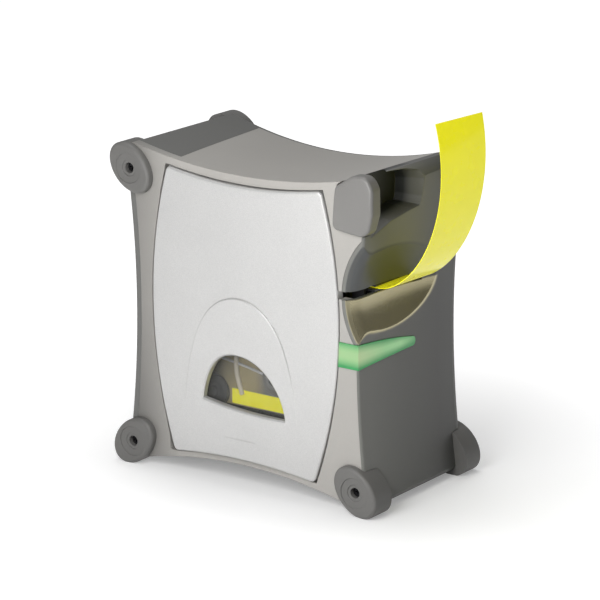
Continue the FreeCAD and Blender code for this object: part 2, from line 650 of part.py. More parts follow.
def centre_distance(a, b):
    return module * (a + b) / 2


motor_teeth, idler_a_big, idler_a_small, idler_b_teeth = 10, 36, 12, 34
platen_teeth, takeup_teeth, cutter_teeth, cutter_pinion_teeth = 20, 16, 20, 10
platen_r = 6.0
idler_reach = 38.6          # reduction gear to platen
platen = (platen_x, tape_z - tape_thick / 2 - 0.1 - platen_r)
motor = (exit_x - 11.5, hole_low + 21.0)
idler_a = meet(motor, centre_distance(motor_teeth, idler_a_big), platen, idler_reach, 1)
idler_b = meet(idler_a, centre_distance(idler_a_small, idler_b_teeth), platen,
               centre_distance(idler_b_teeth, platen_teeth), 1)
takeup = (idler_b[0] - centre_distance(idler_b_teeth, takeup_teeth), idler_b[1])
supply_r, supply_core_r, supply_post_r = 16.5, 8.0, 5.0
supply = (takeup[0] - 27.0, idler_b[1] + 1.0)
ribbon_r, ribbon_core_r, ribbon_post_r = 9.0, 4.0, 2.5
ribbon = (takeup[0] - 4.0, takeup[1] - 22.0)
rack_line = blade_x - 2.2
cutter_gear_place = (rack_line - module * cutter_teeth / 2, hole_low + 101.0)
cutter_pinion_place = (cutter_gear_place[0] - centre_distance(cutter_teeth, cutter_pinion_teeth), cutter_gear_place[1])

motor_phase = 0.0
idler_a_phase = mesh_phase(motor, motor_teeth, motor_phase, idler_a, idler_a_big)
idler_b_phase = mesh_phase(idler_a, idler_a_small, idler_a_phase, idler_b, idler_b_teeth)
platen_phase = mesh_phase(idler_b, idler_b_teeth, idler_b_phase, platen, platen_teeth)
takeup_phase = mesh_phase(idler_b, idler_b_teeth, idler_b_phase, takeup, takeup_teeth)
pinion_phase = mesh_phase(cutter_gear_place, cutter_teeth, 0.0, cutter_pinion_place, cutter_pinion_teeth)

shaft_r = 1.5
pin_r = 1.5
platen_shaft_r = 2.0
bush_r = 3.5
motor_shaft_r = 1.0
front_ear_y = cassette_front_y - 3.0

# ---------------------------------------------------------------- mechanism deck
deck_left = -(hole_x - waist_in - wall - 0.8)
deck_right = exit_x - 3.4
deck_low, deck_high = hole_low + 5.0, hole_low + 117.0
blade_low = tape_z + 2.2
carrier_low = blade_low + 3.0
cut_stroke = 5.6
rack_slot = (blade_x - 1.0, blade_x + 1.0, carrier_low - cut_stroke - 0.6, hole_low + 112.5)
deck = box(deck_left, deck_right, deck_y, deck_back, deck_low, deck_high)
board_low, board_high = hole_low + 8.0, hole_low + 78.0
board_left, board_right = -42.0, 28.0
board_posts = [(x, z) for x in (board_left + 4, board_right - 5) for z in (board_low + 4, board_high - 4)]
gear_pins = {"idler_a": idler_a, "idler_b": idler_b, "cutter": cutter_gear_place}
for x, z in board_posts:
    deck = deck.fuse(rod_y(x, z, 2.8, deck_back, board_y)).cut(rod_y(x, z, 1.1, board_y - 6, board_y + 1))
for x, z in post_places:
    deck = deck.cut(rod_y(x, z, 1.3, deck_y - 1, deck_back + 1))
for x, z in gear_pins.values():
    deck = deck.cut(rod_y(x, z, pin_r, deck_y - 1, deck_back + 1))
deck = deck.cut(rod_y(*platen, bush_r, deck_y - 1, deck_back + 1))
deck = deck.cut(rod_y(*takeup, shaft_r + 1.0, deck_y - 1, deck_back + 1))
for place in (motor, cutter_pinion_place):
    deck = deck.cut(rod_y(*place, 5.2, deck_y - 1, deck_back + 1))
deck = deck.cut(box(rack_slot[0], rack_slot[1], deck_y - 1, deck_back + 1, rack_slot[2], rack_slot[3]))
add("mechanism_deck", deck)
pins = []
for x, z in gear_pins.values():
    pin = rod_y(x, z, pin_r, deck_y, level_2 + gear_wide + 0.9)
    pins.append(pin.fuse(rod_y(x, z, pin_r + 1.0, level_2 + gear_wide + 0.3, level_2 + gear_wide + 0.9)))
add("gear_pins", *pins)

# ---------------------------------------------------------------- feed drive
motor_r, cutter_motor_r, motor_long = 9.8, 7.2, 24.0


def motor_can(place, r):
    body = rod_y(*place, r, deck_y - motor_long, deck_y)
    body = body.cut(rod_y(*place, motor_shaft_r + fit_gap, deck_y - 6, deck_y + 1))
    flat = box(place[0] - 30, place[0] + 30, 0, 60, place[1] + r * 0.82, place[1] + 30)
    collar = ring_y(*place, 3.0, motor_shaft_r + fit_gap, deck_y, deck_back)
    back = ring_y(*place, 3.2, 1.2, deck_y - motor_long - 1.2, deck_y - motor_long)
    return body.cut(flat).fuse(collar).fuse(back)


def pinion(teeth, place, phase):
    shaft = rod_y(*place, motor_shaft_r, deck_y - 5.5, level_1 + gear_wide + 0.5)
    return gear(teeth, *place, level_1, motor_shaft_r - 0.2, phase).fuse(shaft)


add("feed_motor", motor_can(motor, motor_r))
add("feed_pinion", pinion(motor_teeth, motor, motor_phase))
first = gear(idler_a_big, *idler_a, level_1, pin_r + fit_gap, idler_a_phase)
second = gear(idler_a_small, *idler_a, level_2, pin_r + fit_gap, idler_a_phase)
collar = ring_y(*idler_a, 3.2, pin_r + fit_gap, level_1 + gear_wide, level_2)
for k in range(5):
    angle = math.radians(72 * k)
    spot = (idler_a[0] + 9.4 * math.cos(angle), idler_a[1] + 9.4 * math.sin(angle))
    first = first.cut(rod_y(*spot, 2.6, level_1 - 1, level_2))
add("reduction_gear", first.fuse(collar).fuse(second))
idler = gear(idler_b_teeth, *idler_b, level_2, pin_r + fit_gap, idler_b_phase)
idler = idler.fuse(ring_y(*idler_b, 2.8, pin_r + fit_gap, deck_back + 0.2, level_2))
add("idler_gear", idler)

# ---------------------------------------------------------------- platen roller
end_y = tape_front_y + tape_width + 1.0
shaft = rod_y(*platen, platen_shaft_r, front_ear_y - 1.0, level_2 + gear_wide + 0.4)
add("platen_shaft", shaft)
add("platen_rubber", ring_y(*platen, platen_r, platen_shaft_r, tape_front_y - 1.0, end_y))
add("platen_gear", gear(platen_teeth, *platen, level_2, platen_shaft_r, platen_phase))
bearings = [ring_y(*platen, bush_r, platen_shaft_r + fit_gap, deck_y, deck_back),
            ring_y(*platen, bush_r, platen_shaft_r + fit_gap, front_ear_y, front_ear_y + 2.0)]
bearings.append(ring_y(*takeup, shaft_r + 1.0, shaft_r + fit_gap, deck_y, deck_back))
add("shaft_bearings", *bearings)
frame_low = platen[1] - platen_r - 3.4
frame_top = tape_z - 1.4
frame = box(platen_x - 6.5, platen_x + 6.5, front_ear_y, deck_y, frame_low, frame_low + 2.0)
frame = frame.fuse(box(platen_x - 6.5, platen_x + 6.5, front_ear_y, front_ear_y + 2.0, frame_low, frame_top))
add("platen_bracket", frame.cut(rod_y(*platen, bush_r, front_ear_y - 1, front_ear_y + 3)))

# ---------------------------------------------------------------- print head
head_low = tape_z + tape_thick / 2 + 0.15
head_top = head_low + 4.0
head = box(platen_x - 4.0, platen_x + 4.0, tape_front_y - 0.5, end_y, head_low + 0.8, head_top)
head = head.fuse(box(platen_x - 1.2, platen_x + 1.2, tape_front_y, end_y - 1.0, head_low, head_low + 0.8))
add("print_head", head)
sink = box(platen_x - 4.0, platen_x + 4.0, tape_front_y - 0.5, deck_y, head_top, head_top + 1.6)
for k in range(4):
    x = platen_x - 4.0 + 2.3 * k
    sink = sink.fuse(box(x, x + 1.1, tape_front_y, end_y - 1.0, head_top + 1.6, head_top + 5.4))
add("head_heatsink", sink)

# ---------------------------------------------------------------- cutter
blade_points = [(tape_front_y - 1.5, blade_low + 1.6), (end_y + 0.5, blade_low), (deck_y + 0.2, carrier_low),
                (deck_y + 0.2, blade_low + 16.0), (tape_front_y - 1.5, blade_low + 16.0)]
blade = plate_x(blade_points, blade_x - 0.4, blade_x + 0.4)
add("cutter_blade", blade)
rack_low, rack_high = cutter_gear_place[1] - 9.0, cutter_gear_place[1] + 7.5
rack_pitch = math.pi * module
carrier = box(blade_x - 0.7, blade_x + 0.7, deck_y + 0.2, level_1, carrier_low, blade_low + 16.0)
rack_back = rack_line + 1.2 * module
carrier = carrier.fuse(box(rack_back, blade_x + 1.6, level_1, level_1 + gear_wide, rack_low - 1.6, rack_high))
half = rack_pitch / 4 - 0.05
slope = math.tan(math.radians(20))
tooth_middle = cutter_gear_place[1] + rack_pitch / 2
count = 3
for k in range(-count - 1, count + 1):
    z = tooth_middle + k * rack_pitch
    tip, root = rack_line - addendum * module, rack_back + 0.05
    tooth = [(root, z - half - (root - rack_line) * slope), (tip, z - half + (rack_line - tip) * slope),
             (tip, z + half - (rack_line - tip) * slope), (root, z + half + (root - rack_line) * slope)]
    carrier = carrier.fuse(plate_y(tooth, level_1, level_1 + gear_wide))
add("cutter_rack", carrier.removeSplitter())
guide = box(blade_x - 3.4, blade_x - 0.5, deck_y - 6, deck_y, tape_z + 3.0, tape_z + 24.0)
guide = guide.fuse(box(blade_x + 0.5, blade_x + 2.6, deck_y - 6, deck_y, tape_z + 3.0, tape_z + 24.0))
guide_front = box(blade_x - 3.4, blade_x + 2.6, tape_front_y - 4.0, tape_front_y - 1.7, tape_z - 9, tape_z + 24)
bridge = box(blade_x - 3.4, blade_x - 0.5, tape_front_y - 4.0, deck_y, tape_z + 21.0, tape_z + 24.0)
anvil = box(blade_x + 0.5, blade_x + 1.3, tape_front_y - 1.7, deck_y, tape_z - 9.0, tape_z - 0.4)
add("cutter_anvil", anvil)
add("cutter_guide", guide.fuse(guide_front).fuse(bridge))
add("cutter_gear", gear(cutter_teeth, *cutter_gear_place, level_1, pin_r + fit_gap, 0.0)
    .fuse(ring_y(*cutter_gear_place, 2.8, pin_r + fit_gap, level_1 + gear_wide, level_2 + gear_wide)))
add("cutter_motor", motor_can(cutter_pinion_place, cutter_motor_r))
add("cutter_pinion", pinion(cutter_pinion_teeth, cutter_pinion_place, pinion_phase))

# ---------------------------------------------------------------- cassette
case = box(cassette_left, cassette_right, cassette_front_y + 1.4, deck_y, case_low, case_high)
corners = edges_where(case, lambda e: abs(e.tangentAt(e.FirstParameter).y) > 0.9)
case = case.makeFillet(4.0, corners)
hollow = box(cassette_left + case_wall, cassette_right - case_wall, 0, deck_y - case_wall,
             case_low + case_wall, case_high - case_wall)
case = case.cut(hollow).cut(box(cassette_right - 5, cassette_right + 5, tape_front_y - 1, end_y, tape_z - 2, tape_z + 2))
case = case.fuse(rod_y(*supply, supply_post_r, cassette_front_y + 1.4, deck_y))
case = case.fuse(rod_y(*ribbon, ribbon_post_r, cassette_front_y + 1.4, deck_y))
add("cassette_case", case.cut(rod_y(*takeup, 4.0, deck_y - 5, deck_y + 5)))
cover = box(cassette_left, cassette_right, cassette_front_y, cassette_front_y + 1.4, case_low, case_high)
corners = edges_where(cover, lambda e: abs(e.tangentAt(e.FirstParameter).y) > 0.9)
add("cassette_cover", cover.makeFillet(4.0, corners))
label_low, label_high = case_low + 0.6, case_low + 7.2
add("cassette_label", box(cassette_left + 19.0, cassette_right - 3.0, cassette_front_y - 0.15, cassette_front_y,
                          label_low, label_high))
roll_y0, roll_y1 = tape_front_y, tape_front_y + tape_width
add("tape_spool", ring_y(*supply, supply_core_r, supply_post_r + 0.08, roll_y0, deck_y - case_wall - play))
add("tape_roll", ring_y(*supply, supply_r, supply_core_r, roll_y0, roll_y1))
add("ribbon_spool", ring_y(*ribbon, ribbon_core_r, ribbon_post_r + 0.08, roll_y0, deck_y - case_wall - play))
add("ribbon_roll", ring_y(*ribbon, ribbon_r, ribbon_core_r, roll_y0, roll_y1))
key_r = 2.4
add("takeup_spool", ring_y(*takeup, 4.6, key_r, roll_y0, deck_y - case_wall - play),
    ring_y(*takeup, 6.2, 4.6, roll_y0, roll_y1))
spindle = rod_y(*takeup, key_r, roll_y0 + 1.0, deck_y + 0.0)
spindle = spindle.fuse(rod_y(*takeup, shaft_r, deck_y, level_2))
add("takeup_spindle", spindle.fuse(gear(takeup_teeth, *takeup, level_2, 0.5, takeup_phase)))
add("feed_tape", box(cassette_right - 20.0, blade_x - 0.9, tape_front_y, roll_y1,
                     tape_z - tape_thick / 2, tape_z + tape_thick / 2))

# ---------------------------------------------------------------- tape exit, light and electronics
exit_low = tape_z - slot_height / 2
liner_y = tape_front_y - 1.4
liner = box(exit_x - 5.4, exit_x - 0.6, liner_y, deck_y - play, exit_low, exit_low + 1.2)
liner = liner.fuse(box(exit_x - 5.4, exit_x - 0.6, liner_y, deck_y - play, exit_low + 2.4, exit_low + 3.5))
add("slot_guide", liner.fuse(box(exit_x - 5.4, exit_x - 0.6, end_y + 0.4, deck_y - play, exit_low, exit_low + 3.5)))
led_x = hole_x - wall - 5.2
lamp_board = box(led_x, led_x + 1.2, bezel_back + 0.2, 30.0, hole_low + 50.0, hole_low + 66.0)
add("lamp_board", lamp_board)
lamps = [box(led_x + 1.2, led_x + 3.0, y, y + 3.2, hole_low + 56.4, hole_low + 59.6) for y in (11.0, 18.0, 25.0)]
add("indicator_lamps", *lamps)
board = box(board_left, board_right, board_y, board_y + board_thick, board_low, board_high)
for x, z in board_posts:
    board = board.cut(rod_y(x, z, 1.3, board_y - 1, board_y + 3))
add("main_board", board)
board_screws = []
for x, z in board_posts:
    top = board_y + board_thick
    board_screws.append(rod_y(x, z, 2.4, top, top + 1.5).fuse(rod_y(x, z, 1.05, top - 6.0, top)))
add("board_screws", *board_screws)
top = board_y + board_thick
chips = [box(-16, -4, top, top + 1.2, hole_low + 40, hole_low + 52), box(6, 16, top, top + 1.2, hole_low + 44, hole_low + 50),
         box(-34, -26, top, top + 1.2, hole_low + 56, hole_low + 66), box(8, 14, top, top + 2.0, hole_low + 26, hole_low + 34)]
capacitors = [rod_y(18, hole_low + 64, 3.2, board_y - 5.2, board_y), rod_y(-18, hole_low + 68, 2.5, board_y - 5.2, board_y)]
add("board_components", *chips, *capacitors)
usb = box(usb_x - usb_wide / 2, usb_x + usb_wide / 2, top, rear_y - 0.3, usb_z - usb_high / 2, usb_z + usb_high / 2)
usb = usb.cut(box(usb_x - 4.3, usb_x + 4.3, top + 1.0, 90, usb_z - 4.0, usb_z + 4.0))
add("usb_socket", usb.fuse(box(usb_x - 2.8, usb_x + 2.8, top + 0.5, rear_y - 1.5, usb_z - 1.6, usb_z + 1.6)))
jack = rod_y(jack_x, jack_z, jack_r, top, rear_y - 0.3).cut(rod_y(jack_x, jack_z, 3.0, top + 1.0, 90))
add("dc_jack", jack.fuse(rod_y(jack_x, jack_z, 1.0, top + 0.5, rear_y - 1.5)))

marks["hole_low"], marks["hole_high"], marks["ground"] = hole_low, hole_high, foot_flat
marks["usb"], marks["jack"] = [usb_x, rear_y - 0.3, usb_z], [jack_x, rear_y - 0.3, jack_z]
lean = (bumper_long ** 2 - bumper_short ** 2) / (2 * hole_low)
marks["flat_x"] = lean
marks["hinge"] = [hinge_x, hinge_y, 0]
marks["latch"] = [knob_pivot_x, knob_pivot_y, 0]
for name, place in (("motor", motor), ("idler_a", idler_a), ("idler_b", idler_b), ("platen", platen),
                    ("takeup", takeup), ("supply", supply), ("ribbon", ribbon),
                    ("cutter_gear", cutter_gear_place), ("cutter_pinion", cutter_pinion_place)):
    marks[name] = [place[0], level_1, place[1]]

# ---------------------------------------------------------------- output
everything = Part.makeCompound([s for solids in nodes.values() for s in solids])
bounds = everything.optimalBoundingBox(True)
shift = V(-(bounds.XMin + bounds.XMax) / 2, -(bounds.YMin + bounds.YMax) / 2, -bounds.ZMin)
os.makedirs("parts", exist_ok=True)
for name, solids in nodes.items():
    shape = solids[0] if len(solids) == 1 else Part.makeCompound(solids)
    shape.translate(shift)
    shape.exportStep("parts/" + name + ".step")
    print(name, len(solids), round(sum(s.Volume for s in solids), 1), all(s.isValid() for s in solids))
print("size", round(bounds.XLength, 3), round(bounds.YLength, 3), round(bounds.ZLength, 3))
print("MARKS " + json.dumps({"shift": list(shift), **marks}))
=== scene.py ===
import bpy
import math
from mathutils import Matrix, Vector


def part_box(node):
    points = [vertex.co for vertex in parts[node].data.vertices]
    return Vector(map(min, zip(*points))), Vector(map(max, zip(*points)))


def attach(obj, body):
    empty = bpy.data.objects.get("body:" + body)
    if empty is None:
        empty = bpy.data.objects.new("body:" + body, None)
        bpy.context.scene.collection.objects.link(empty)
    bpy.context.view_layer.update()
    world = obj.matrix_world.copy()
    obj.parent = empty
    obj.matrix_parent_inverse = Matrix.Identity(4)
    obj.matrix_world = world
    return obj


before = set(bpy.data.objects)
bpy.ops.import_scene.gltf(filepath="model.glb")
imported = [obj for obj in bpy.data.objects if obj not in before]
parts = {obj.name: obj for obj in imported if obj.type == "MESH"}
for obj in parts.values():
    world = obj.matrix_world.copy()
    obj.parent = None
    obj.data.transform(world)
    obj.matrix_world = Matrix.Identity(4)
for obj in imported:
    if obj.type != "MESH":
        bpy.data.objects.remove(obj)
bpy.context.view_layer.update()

# ---------------------------------------------------------------- camera
# A long lens on a tripod, a little above the label maker and to its right, aimed at the
# middle of its front. The foot's screw hole is where it measures from.
left_low, left_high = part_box("front_foot_left")
right_low, right_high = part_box("front_foot_right")
foot_width = right_high.x - right_low.x
foot_radius = foot_width / 2
anchor = Vector(((left_low.x + left_high.x + right_low.x + right_high.x) / 4, left_low.y,
                 left_high.z - foot_radius))
azimuth, elevation, distance = math.radians(35.84), math.radians(15.83), 1.292
across = Vector((math.cos(azimuth), math.sin(azimuth), 0))
backwards = Vector((math.sin(azimuth) * math.cos(elevation), -math.cos(azimuth) * math.cos(elevation),
                    math.sin(elevation)))
target = anchor + across * 0.02552 + Vector((0, 0, 0.0739))
camera = bpy.data.objects.new("camera", bpy.data.cameras.new("camera"))
camera.data.lens = 184.7
camera.data.sensor_width = 36
camera.data.clip_end = 20
camera.location = target + backwards * distance
camera.rotation_euler = (-backwards).to_track_quat("-Z", "Y").to_euler()
bpy.context.collection.objects.link(camera)
bpy.context.scene.camera = camera


# ---------------------------------------------------------------- dark housing shells
# Two side shells, the base and the rear cover, injection moulded in charcoal ABS with a fine
# spark-eroded grain. Screws through the corner bumpers clamp them round the mechanism.
class Wire:
    """A socket in a material. Sums and products on it add Math nodes; node() adds any other."""

    def __init__(self, tree, socket=None):
        self.tree, self.socket = tree, socket

    def node(self, kind, settings=None, values=None, out=0):
        """Adds a node, makes its settings, then fills its sockets with values or wires."""
        made = self.tree.nodes.new(kind)
        for name, value in (settings or {}).items():
            if name == "stops":
                ramp = made.color_ramp
                while len(ramp.elements) < len(value):
                    ramp.elements.new(0.5)
                for element, (place, colour) in zip(ramp.elements, value):
                    element.position = place
                    element.color = (*colour, 1) if len(colour) == 3 else colour
            else:
                setattr(made, name, value)
        for name, value in (values or {}).items():
            if isinstance(value, Wire):
                self.tree.links.new(value.socket, made.inputs[name])
            elif isinstance(value, tuple) and len(value) == 3 and made.inputs[name].type == "RGBA":
                made.inputs[name].default_value = (*value, 1)
            else:
                made.inputs[name].default_value = value
        return Wire(self.tree, made.outputs[out] if made.outputs else None)

    def maths(self, operation, *operands):
        return self.node("ShaderNodeMath", {"operation": operation}, dict(enumerate(operands)))

    def __add__(self, other):
        return self.maths("ADD", self, other)

    def __sub__(self, other):
        return self.maths("SUBTRACT", self, other)

    def __rsub__(self, other):
        return self.maths("SUBTRACT", other, self)

    def __mul__(self, other):
        return self.maths("MULTIPLY", self, other)

    def __truediv__(self, other):
        return self.maths("DIVIDE", self, other)

    def __pow__(self, other):
        return self.maths("POWER", self, other)

    __radd__, __rmul__ = __add__, __mul__

    def clamped(self, low, high):
        """0 below low, 1 above high, straight between."""
        return self.node("ShaderNodeMapRange", {"clamp": True},
                         {"Value": self, "From Min": low, "From Max": high})

    def mixed(self, first, second):
        """first where this is 0, second where it is 1, both colours."""
        return self.node("ShaderNodeMix", {"data_type": "RGBA"}, {0: self, 6: first, 7: second}, out=2)

    def noise(self, scale, detail=2.0, where=None):
        values = {"Scale": scale, "Detail": detail}
        values["Vector"] = where or self.place()
        return self.node("ShaderNodeTexNoise", None, values)

    def place(self):
        return self.node("ShaderNodeTexCoord", out=3)

    def axes(self):
        """x, y and z of the place on the object, in metres."""
        split = self.node("ShaderNodeSeparateXYZ", None, {0: self.place()})
        outputs = split.socket.node.outputs
        return [Wire(self.tree, outputs[k]) for k in range(3)]

    def rounded(self, radius):
        """A normal that rolls over the part's edges, as a mould's edges do."""
        return self.node("ShaderNodeBevel", {"samples": 6}, {"Radius": radius})

    def bumped(self, height, distance, normal=None, strength=1.0):
        values = {"Height": height, "Distance": distance, "Strength": strength}
        if normal:
            values["Normal"] = normal
        return self.node("ShaderNodeBump", None, values)


def material(name):
    """An empty material and the wire that its nodes are added with."""
    made = bpy.data.materials.new(name)
    made.use_nodes = True
    made.node_tree.nodes.clear()
    return made, Wire(made.node_tree)


def surface(wire, **values):
    """The shader at the end of a material; underscores in names stand for spaces."""
    shader = wire.node("ShaderNodeBsdfPrincipled", None,
                       {name.replace("_", " "): value for name, value in values.items()})
    wire.node("ShaderNodeOutputMaterial", None, {"Surface": shader})


def give(finish, *names):
    for name in names:
        mesh = parts[name].data
        mesh.materials.clear()
        mesh.materials.append(finish)


def grained_plastic(name, colour, roughness, grain=0.00002, edge=0.0006):
    """Moulded plastic: fine spark grain, faint flow marks, edges softly rounded."""
    finish, wire = material(name)
    speckle = wire.noise(3200.0, 1.0)
    cloud = wire.noise(26.0, 3.0)
    shade = speckle * 0.10 + cloud * 0.16 + 0.87
    tint = wire.node("ShaderNodeVectorMath", {"operation": "SCALE"}, {0: colour, "Scale": shade})
    surface(wire, Base_Color=tint, Roughness=cloud * 0.10 + speckle * 0.06 + (roughness - 0.08),
            Normal=wire.bumped(speckle, grain, wire.rounded(edge), 0.6), IOR=1.5)
    return finish


charcoal = (0.150, 0.150, 0.143)
give(grained_plastic("charcoal_grained", charcoal, 0.46), "left_shell", "base_plate", "rear_cover")

# ---------------------------------------------------------------- right shell
# The same charcoal plastic, with painted shade in two hollows: dark grey in the scoop round the tape's
# slot and nearly black in the finger recess behind the latch knob. The scoop's lower lip below the slot
# carries a painted reflection of the tape and light, tan, partly metallic and glossier; painted shade
# also darkens the side towards the back.
tape_low, tape_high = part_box("label_strip")
feed_low, feed_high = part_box("feed_tape")
tape_z = (feed_low.z + feed_high.z) / 2
scoop_radius, scoop_depth = 0.0305, 0.0034
exit_x = tape_low.x + 0.0056
finish, wire = material("charcoal_with_painted_shade_in_hollows")
x, y, z = wire.axes()
speckle = wire.noise(3200.0, 1.0)
cloud = wire.noise(26.0, 3.0)
radial = ((x - (exit_x + scoop_radius - 0.0004)) ** 2.0 + (z - tape_z) ** 2.0) ** 0.5
long_curve = (y - (anchor.y + 0.014)) ** 2.0 / (2 * 0.182)
flare = (1.0 - (y - anchor.y).clamped(0.0030, 0.0110)) ** 2.0 * 0.0034
in_scoop = 1.0 - (radial + long_curve - flare).clamped(scoop_radius + 0.0003, scoop_radius + 0.0009)
knob_low, knob_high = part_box("latch_lever")
hollow_z = (knob_low.z + knob_high.z) / 2
in_recess = (1.0 - x.clamped(0.0435, 0.0475)) * z.clamped(hollow_z - 0.016, hollow_z - 0.013) \
    * (1.0 - y.clamped(0.0030, 0.0040))
# Painted shade in the hollows: the scoop turns dark grey and the finger recess nearly black.
hollow_shade_mask = wire.maths("MAXIMUM", in_scoop, in_recess)
# Painted reflection of the yellow tape and the light on the scoop's lower lip below the slot.
lip_painted_reflection = in_scoop * (1.0 - z.clamped(tape_z - 0.0020, tape_z - 0.0012))
shade = speckle * 0.10 + cloud * 0.16 + 0.87
hollow = in_recess.mixed((0.078, 0.083, 0.085), (0.016, 0.018, 0.018))
# Painted shade: the side darkens towards the back.
painted_shade_to_back = 1.0 - (y - anchor.y).clamped(0.010, 0.060) * 0.55
shade = shade * painted_shade_to_back
tint = wire.node("ShaderNodeVectorMath", {"operation": "SCALE"}, {0: (0.185, 0.186, 0.172), "Scale": shade})
tint = (hollow_shade_mask * 0.95).mixed(tint, hollow)
surface(wire, Base_Color=lip_painted_reflection.mixed(tint, (0.42, 0.38, 0.24)), Metallic=lip_painted_reflection * 0.75,
        Roughness=(cloud * 0.10 + speckle * 0.06 + 0.40) * (1.0 - lip_painted_reflection * 0.45),
        Normal=wire.bumped(speckle, 0.00002, wire.rounded(0.0006), 0.6), IOR=1.5)
give(finish, "right_shell")

# ---------------------------------------------------------------- light covers
# The top cover and the front bezel, moulded in warm light grey ABS with the same fine grain.
# They are the pale band that shows round the door and across the top.
give(grained_plastic("warm_grey_grained", (0.43, 0.415, 0.390), 0.40), "top_cover")
finish, wire = material("bezel_warm_grey")
x, y, z = wire.axes()
bezel_low, bezel_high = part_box("front_bezel")
speckle = wire.noise(3200.0, 1.0)
cloud = wire.noise(26.0, 3.0)
# Painted shade: the bezel darkens towards its left edge, most of all low down.
clear_of_left_shade = (x - bezel_low.x).clamped(0.0, 0.026)
painted_shade_low_left = 1.0 - (z - bezel_low.z).clamped(0.010, 0.070) * 0.45
shade = (speckle * 0.10 + cloud * 0.16 + 0.87) * (1.0 - (1.0 - clear_of_left_shade) * painted_shade_low_left * 0.72)
tint = wire.node("ShaderNodeVectorMath", {"operation": "SCALE"}, {0: (0.43, 0.415, 0.390), "Scale": shade})
surface(wire, Base_Color=tint, Roughness=cloud * 0.10 + speckle * 0.06 + 0.32,
        Normal=wire.bumped(speckle, 0.00002, wire.rounded(0.0006), 0.6), IOR=1.5)
give(finish, "front_bezel")

# ---------------------------------------------------------------- corner bumpers and screws
# Oval bumpers of soft-touch plastic, a tone lighter than the shells, each held by a
# blackened cross-head screw deep in its dished face.
give(grained_plastic("bumper_soft_grey", (0.160, 0.157, 0.150), 0.50, 0.000016, 0.0004),
     "front_foot_left", "front_foot_right", "front_bumper_left", "rear_foot_left", "rear_foot_right",
     "rear_bumper_left", "rear_bumper_right")
finish, wire = material("blackened_screw")
turned = wire.noise(900.0, 2.0)
surface(wire, Base_Color=turned.mixed((0.018, 0.018, 0.020), (0.045, 0.045, 0.048)), Metallic=0.9,
        Roughness=turned * 0.2 + 0.3, Normal=wire.bumped(turned, 0.00001))
give(finish, "corner_screws", "rear_cover_screws")

# ---------------------------------------------------------------- latch knob
# The pull knob is one moulding with its lever, in the bumpers' grey but smoother, with a
# domed face where the thumb rests. It turns on a steel pin.
give(grained_plastic("knob_smooth_grey", (0.205, 0.200, 0.192), 0.34, 0.000008, 0.0005), "latch_lever")

# ---------------------------------------------------------------- door
# The front door, moulded in grey and sprayed with silver paint: fine aluminium flakes under
# a thin satin lacquer.
finish, wire = material("silver_paint")
flake = wire.node("ShaderNodeTexVoronoi", {"feature": "F1"},
                  {"Vector": wire.place(), "Scale": 5200.0, "Randomness": 1.0}, out=1)
spark = wire.node("ShaderNodeSeparateColor", None, {0: flake})
spray = wire.noise(40.0, 4.0)
peel = wire.noise(700.0, 1.0)
surface(wire, Base_Color=(spark * 0.6 + spray * 0.4).mixed((0.50, 0.50, 0.495), (0.66, 0.655, 0.645)),
        Metallic=0.35, Roughness=spark * 0.08 + spray * 0.06 + 0.33,
        Normal=wire.bumped(peel, 0.000006, wire.rounded(0.0004), 0.5),
        Coat_Weight=0.35, Coat_Roughness=0.18, IOR=1.5)
give(finish, "door_panel")

# ---------------------------------------------------------------- window
# A clear polycarbonate pane, cemented behind the door's arched opening. It is thin and
# slightly smoky, so that the cassette shows through it.
finish, wire = material("clear_pane")
scuff = wire.noise(300.0, 3.0)
surface(wire, Base_Color=(0.25, 0.25, 0.24), Alpha=scuff * 0.06 + 0.10, Roughness=scuff * 0.05 + 0.03,
        IOR=1.5, Coat_Weight=0.6, Coat_Roughness=0.03)
finish.surface_render_method = "BLENDED"
give(finish, "window_lens")

# ---------------------------------------------------------------- light pipe
# A band of green acrylic let into the corner below the slot. Lamps behind it light its
# middle, most of all where it turns the corner.
pipe_low, pipe_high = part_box("light_pipe")
finish, wire = material("lit_green_acrylic")
x, y, z = wire.axes()
middle = (pipe_low.z + pipe_high.z) / 2 + 0.0006
half = (pipe_high.z - pipe_low.z) / 2
along = (y - pipe_low.y) / (pipe_high.y - pipe_low.y)
off_middle = ((z - middle + along * 0.0004) * (z - middle + along * 0.0004)) ** 0.5 / ((1.0 - along * 0.60) * half)
core = (1.0 - off_middle.clamped(0.20, 0.95)) * (1.0 - along.clamped(0.72, 1.05))
hot = (1.0 - along.clamped(0.0, 0.45)) * core
ripple = wire.noise(160.0, 2.0)
glow = core.mixed((0.012, 0.20, 0.035), (0.42, 0.72, 0.34))
glow = (hot * 0.8).mixed(glow, (0.74, 0.72, 0.42))
surface(wire, Base_Color=(ripple * 0.5).mixed((0.02, 0.20, 0.06), (0.04, 0.28, 0.10)),
        Roughness=ripple * 0.08 + 0.12, Emission_Color=glow, Emission_Strength=0.50,
        Normal=wire.bumped(ripple, 0.00004), IOR=1.49)
give(finish, "light_pipe")

# ---------------------------------------------------------------- label and tape
# Glossy yellow laminated tape: a thin film over a pressure-sensitive backing. The printed
# label curls up as it leaves the slot.
finish, wire = material("yellow_laminate")
film = wire.noise(220.0, 2.0)
cloud = wire.noise(30.0, 2.0)
# A weak yellow emission gives the tape a painted glow, brighter than the lamps alone make it.
surface(wire, Base_Color=cloud.mixed((0.93, 0.87, 0.006), (0.96, 0.91, 0.012)), Emission_Color=(0.95, 0.90, 0.03),
        Emission_Strength=0.30, Roughness=film * 0.08 + 0.24, Normal=wire.bumped(film, 0.000004), IOR=1.5,
        Coat_Weight=0.3, Coat_Roughness=0.08)
give(finish, "label_strip", "feed_tape", "tape_roll", "cassette_label")

